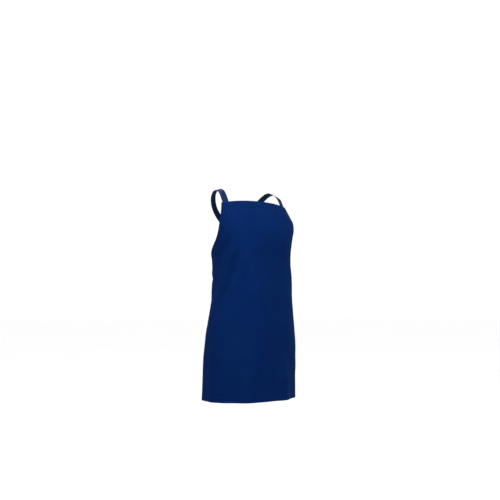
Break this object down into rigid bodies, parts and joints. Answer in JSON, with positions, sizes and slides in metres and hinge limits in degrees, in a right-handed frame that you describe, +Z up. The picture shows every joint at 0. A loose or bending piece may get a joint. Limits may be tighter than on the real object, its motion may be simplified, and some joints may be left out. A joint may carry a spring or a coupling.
{
  "type": "welding apron",
  "caption": "Navy cloth bib welding apron as worn, with webbing shoulder straps crossed at the back, strap sliders and a side-release waist buckle.",
  "frame": {"origin": "midway between the places where the two shoulder straps rest on top of the wearer's shoulders", "axes": "the wearer faces -Y, the wearer's left is +X, +Z is up"},
  "size_m": [0.3846, 0.2676, 0.7909],
  "materials": {
    "apron_cloth": "matte",
    "edge_binding": "matte",
    "webbing": "matte",
    "ring_steel": "satin",
    "buckle_plastic": "satin"
  },
  "bodies": {
    "apron": {"apron_panel": "apron_cloth", "bib_facing": "apron_cloth", "cross_patch": "apron_cloth", "armhole_binding_right": "edge_binding", "bib_patch_right": "apron_cloth", "waist_patch_right": "apron_cloth", "armhole_binding_left": "edge_binding", "bib_patch_left": "apron_cloth", "waist_patch_left": "apron_cloth", "shoulder_strap_right": "webbing", "ring_tab_right": "webbing", "waist_strap_right": "webbing", "shoulder_strap_left": "webbing", "ring_tab_left": "webbing", "waist_strap_left": "webbing", "ring_right": "ring_steel", "ring_left": "ring_steel", "buckle_socket": "buckle_plastic"},
    "slider_right": {"slider_right": "buckle_plastic", "strap_end_right": "webbing"},
    "slider_left": {"slider_left": "buckle_plastic", "strap_end_left": "webbing"},
    "plug": {"buckle_plug": "buckle_plastic", "waist_strap_loop": "webbing"},
    "latch_upper": {"latch_upper": "buckle_plastic"},
    "latch_lower": {"latch_lower": "buckle_plastic"},
    "waist_tail": {"waist_strap_tail": "webbing"}
  },
  "joints": [
    {"name": "slider_right_slide", "type": "slide", "parent": "apron", "child": "slider_right", "axis": [0.5689, 0.2098, 0.7952], "range_m": [-0.015, 0.015]},
    {"name": "slider_left_slide", "type": "slide", "parent": "apron", "child": "slider_left", "axis": [-0.5709, 0.193, 0.798], "range_m": [-0.015, 0.015]},
    {"name": "buckle_release", "type": "slide", "parent": "apron", "child": "plug", "axis": [1, 0, 0], "range_m": [0, 0.018]},
    {"name": "latch_upper_press", "type": "hinge", "parent": "plug", "child": "latch_upper", "pos_m": [0.0032, 0.078, -0.3077], "axis": [0, -1, 0], "range_deg": [0, 7], "stiffness_Nm_per_rad": 0.1},
    {"name": "latch_lower_press", "type": "hinge", "parent": "plug", "child": "latch_lower", "pos_m": [0.0032, 0.078, -0.3283], "axis": [0, 1, 0], "range_deg": [0, 7], "stiffness_Nm_per_rad": 0.1},
    {"name": "waist_tail_swing", "type": "hinge", "parent": "plug", "child": "waist_tail", "pos_m": [0.02585, 0.08135, -0.318], "axis": [0, 0, 1], "range_deg": [0, 70]}
  ]
}
